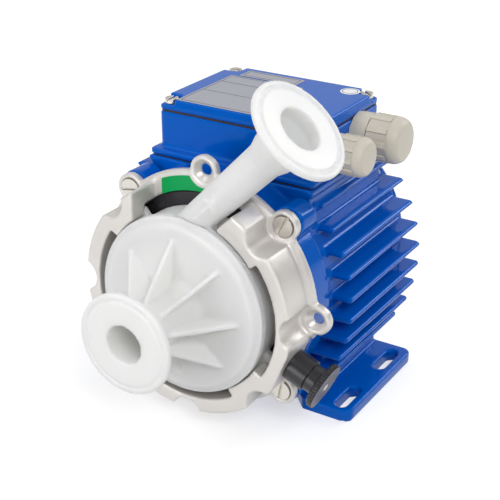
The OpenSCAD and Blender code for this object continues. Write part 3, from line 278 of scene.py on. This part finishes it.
def open_pin_bore(work):
    """Moves the walls and floor of the lock pin's stepped hole back, which the smoothing has drawn in."""
    low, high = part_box("lock_pin")
    start = Vector(((low[0] + high[0]) / 2, 0, SHAFT_HEIGHT))
    axis = Vector((0, -math.cos(LOCK_ANGLE), -math.sin(LOCK_ANGLE)))
    for vert in work.verts:
        along = (vert.co - start).dot(axis)
        away = vert.co - start - axis * along
        if not HOLE_SPAN[0] < along < HOLE_SPAN[1] or away.length == 0:
            continue
        near_floor = FLOOR_SPAN[0] < along < FLOOR_SPAN[1] and away.length < COLLAR_BORE + FLOOR_MARGIN
        in_corner = near_floor and away.length > COLLAR_BORE - CORNER_WIDTH
        bore = COLLAR_BORE if along > FLOOR_SPAN[1] or in_corner else PIN_BORE
        if away.length < bore:
            vert.co += away * (bore / away.length - 1)
        if near_floor:
            vert.co += axis * (COLLAR_FLOOR - along)


def cast(node, voxel, passes, flat=0.5):
    """A copy of a solid as cast or moulded: rounded outer edges and filled inner corners.

    voxel is the size of its grid and passes the number of smoothing steps. Faces that meet at less than
    flat degrees are joined, or none where flat is 0.
    """
    piece = copy_of(node, "_cast")
    remesh = piece.modifiers.new("skin", "REMESH")
    remesh.mode = "VOXEL"
    remesh.voxel_size = voxel
    smooth = piece.modifiers.new("smooth", "SMOOTH")
    smooth.factor = SMOOTH_STEP
    smooth.iterations = passes
    bpy.context.view_layer.update()
    drawn = piece.evaluated_get(bpy.context.evaluated_depsgraph_get())
    work = bmesh.new()
    work.from_mesh(drawn.to_mesh())
    drawn.to_mesh_clear()
    piece.modifiers.clear()
    if node == "mounting_ring":
        open_pin_bore(work)
    if flat:
        bmesh.ops.dissolve_limit(work, angle_limit=math.radians(flat), verts=work.verts, edges=work.edges)
        bmesh.ops.triangulate(work, faces=[f for f in work.faces if len(f.verts) > 4])
    work.to_mesh(piece.data)
    work.free()
    piece.data.shade_smooth()
    piece.modifiers.new("even normals", "WEIGHTED_NORMAL").weight = FLAT_FACE_PULL
    stand_for(piece, node)


for name, item in NODES.items():
    item.data.materials.clear()
    item.data.materials.append(MATERIALS[SLOT_OF[name]])


# Thin printed frames on the blank plates, and a ring on the round sticker

PRINT_T = 0.00004
FRAME_INSET = 0.0013
FRAME_LINE = 0.00035
FRAME_CORNER = 0.001
FIELD_CORNER = 0.0006
RING_SHARE = 0.80


def printed(node, corners, holes, name):
    """A flat outline with holes, lying on top of a node as a thin film."""
    mesh = bpy.data.meshes.new(name)
    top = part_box(node)[1][2]
    work = bmesh.new()
    edges = []
    for loop in [corners, *holes]:
        points = [work.verts.new((x, y, top)) for x, y in loop]
        edges += [work.edges.new((points[i - 1], points[i])) for i in range(len(points))]
    bmesh.ops.triangle_fill(work, use_beauty=True, edges=edges)
    sides = bmesh.ops.extrude_face_region(work, geom=work.faces[:])
    lifted = [v for v in sides["geom"] if isinstance(v, bmesh.types.BMVert)]
    bmesh.ops.translate(work, vec=(0, 0, PRINT_T), verts=lifted)
    bmesh.ops.recalc_face_normals(work, faces=work.faces[:])
    work.to_mesh(mesh)
    work.free()
    mesh.materials.append(MATERIALS["black_plastic"])
    piece = bpy.data.objects.new(name, mesh)
    bpy.context.scene.collection.objects.link(piece)
    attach(piece, BODY_OF[node])


def rectangle(low, high, inset, radius, points=5):
    """Corners of a rounded rectangle inside the given limits."""
    x0, y0, x1, y1 = low[0] + inset, low[1] + inset, high[0] - inset, high[1] - inset
    centres = ((x1 - radius, y1 - radius), (x0 + radius, y1 - radius),
               (x0 + radius, y0 + radius), (x1 - radius, y0 + radius))
    return [
        (x + radius * math.cos(math.radians(90 * (k + i / (points - 1)))),
         y + radius * math.sin(math.radians(90 * (k + i / (points - 1)))))
        for k, (x, y) in enumerate(centres) for i in range(points)
    ]


def circle(x, y, radius, points=48):
    """Corners of a circle."""
    return [(x + radius * math.cos(math.tau * i / points), y + radius * math.sin(math.tau * i / points))
            for i in range(points)]


def plate_frame(node, rows):
    """A frame round a plate, with lines across it that leave empty fields. rows are shares of its depth."""
    low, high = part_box(node)
    limits = [0, *rows, 1]
    holes = []
    for start, end in zip(limits, limits[1:]):
        span = high[0] - low[0] - 2 * FRAME_INSET - FRAME_LINE
        field_low = (low[0] + FRAME_INSET + span * start, low[1] + FRAME_INSET)
        field_high = (low[0] + FRAME_INSET + span * end + FRAME_LINE, high[1] - FRAME_INSET)
        holes.append(rectangle(field_low, field_high, FRAME_LINE, FIELD_CORNER))
    printed(node, rectangle(low, high, FRAME_INSET, FRAME_CORNER), holes, node + "_frame")


plate_frame("rating_plate", (0.42, 0.78))
plate_frame("strip_plate", ())
sticker_low, sticker_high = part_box("round_sticker")
sticker_x, sticker_y = ((sticker_low[i] + sticker_high[i]) / 2 for i in (0, 1))
sticker_r = (sticker_high[0] - sticker_low[0]) / 2
ring_r = RING_SHARE * sticker_r
printed("round_sticker", circle(sticker_x, sticker_y, ring_r),
        [circle(sticker_x, sticker_y, ring_r - FRAME_LINE)], "sticker_ring")


# Floor, light and backdrop

WHITE = (1, 1, 1, 1)
FLOOR_REACH = 40
FLOOR_DARK = (0.58, 0.58, 0.58)
FLOOR_LIGHT = (0.61, 0.61, 0.61)
FLOOR_GLOW = 0.55


def make_floor():
    """A pale floor that shows white and keeps a faint shadow, while it throws less light up at the object."""
    mesh = bpy.data.meshes.new("floor")
    reach = FLOOR_REACH
    corners = [(-reach, -reach, 0), (reach, -reach, 0), (reach, reach, 0), (-reach, reach, 0)]
    mesh.from_pydata(corners, [], [(0, 1, 2, 3)])
    floor = bpy.data.objects.new("floor", mesh)
    bpy.context.scene.collection.objects.link(floor)
    made = bpy.data.materials.new("floor_white")
    made.use_nodes = True
    tree = made.node_tree
    surface = tree.nodes["Principled BSDF"]
    surface.inputs["Roughness"].default_value = 0.9
    surface.inputs["Specular IOR Level"].default_value = 0.1
    tree.links.new(shades(tree, noise(tree, 3.0), FLOOR_DARK, FLOOR_LIGHT), surface.inputs["Base Color"])
    path = add_node(tree, "ShaderNodeLightPath")
    seen = path.outputs["Is Camera Ray"]
    for kind in ("Is Glossy Ray", "Is Transmission Ray"):
        either = add_node(tree, "ShaderNodeMath", operation="MAXIMUM")
        tree.links.new(seen, either.inputs[0])
        tree.links.new(path.outputs[kind], either.inputs[1])
        seen = either.outputs[0]
    tree.links.new(ramp(tree, seen, 0.0, FLOOR_GLOW, 0.0, 1.0), surface.inputs["Emission Strength"])
    surface.inputs["Emission Color"].default_value = WHITE
    mesh.materials.append(made)


# The studio is brightest above and behind the object, towards WORLD_BRIGHT
WORLD_BRIGHT = (0.25, 0.50, 0.83)
WORLD_DIM_LEVEL, WORLD_BRIGHT_LEVEL = 0.14, 0.82
WORLD_DIM_FROM, WORLD_BRIGHT_FROM = -0.2, 1.0


def make_world():
    """Even white light that grows from one side of the studio to the other."""
    world = bpy.data.worlds.new("studio")
    world.use_nodes = True
    tree = world.node_tree
    place = add_node(tree, "ShaderNodeTexCoord")
    lean = add_node(tree, "ShaderNodeVectorMath", operation="DOT_PRODUCT")
    lean.inputs[1].default_value = WORLD_BRIGHT
    tree.links.new(place.outputs["Generated"], lean.inputs[0])
    strength = ramp(tree, lean.outputs["Value"], WORLD_DIM_LEVEL, WORLD_BRIGHT_LEVEL,
                    WORLD_DIM_FROM, WORLD_BRIGHT_FROM)
    tree.links.new(strength, tree.nodes["Background"].inputs["Strength"])
    tree.nodes["Background"].inputs["Color"].default_value = WHITE
    bpy.context.scene.world = world


def softbox(name, place, size, power):
    """A rectangular lamp aimed at the middle of the object, its size in metres and its power in watts."""
    data = bpy.data.lights.new(name, "AREA")
    data.shape = "RECTANGLE"
    data.size, data.size_y = size
    data.energy = power
    light = bpy.data.objects.new(name, data)
    light.location = place
    light.rotation_euler = (Vector(LAMP_TARGET) - Vector(place)).to_track_quat("-Z", "Y").to_euler()
    bpy.context.scene.collection.objects.link(light)


LAMP_TARGET = (-0.02, 0, 0.08)

make_floor()
make_world()
softbox("key", (-0.85, -0.85, 1.00), (0.45, 0.45), 8)
softbox("left edge light", (-0.65, 0.70, 1.20), (0.6, 0.6), 2)
softbox("right edge light", (1.10, -0.62, 0.78), (0.4, 0.7), 5)
softbox("side strip", (-0.10, -1.30, 0.55), (0.12, 1.0), 1.5)
softbox("front fill", (-1.35, 0.30, 0.25), (0.5, 0.8), 6)

scene = bpy.context.scene
scene.view_settings.view_transform = "Standard"
scene.view_settings.look = "None"

# Castings and mouldings: voxel size, smoothing passes, and the flat angle where it isn't the usual one
CASTINGS = {
    "motor_housing": (0.0009, 2), "terminal_box": (0.0009, 3), "box_lid": (0.0009, 3),
    "rear_cover": (0.0010, 3), "mounting_ring": (0.0008, 4),
    "pump_cover": (0.0007, 2, 0), "pump_casing": (0.0007, 2, 0),
}
# How wide the rounded edges of all other pieces are
EDGE = 0.0004
FINE_EDGES = {
    "lock_knob": 0.00012, "large_gland_cap": 0.0002, "small_gland_cap": 0.0002,
    "large_gland_body": 0.0002, "small_gland_body": 0.0002,
}
for name in NODES:
    if name in CASTINGS:
        cast(name, *CASTINGS[name])
    else:
        softened(name, FINE_EDGES.get(name, EDGE))
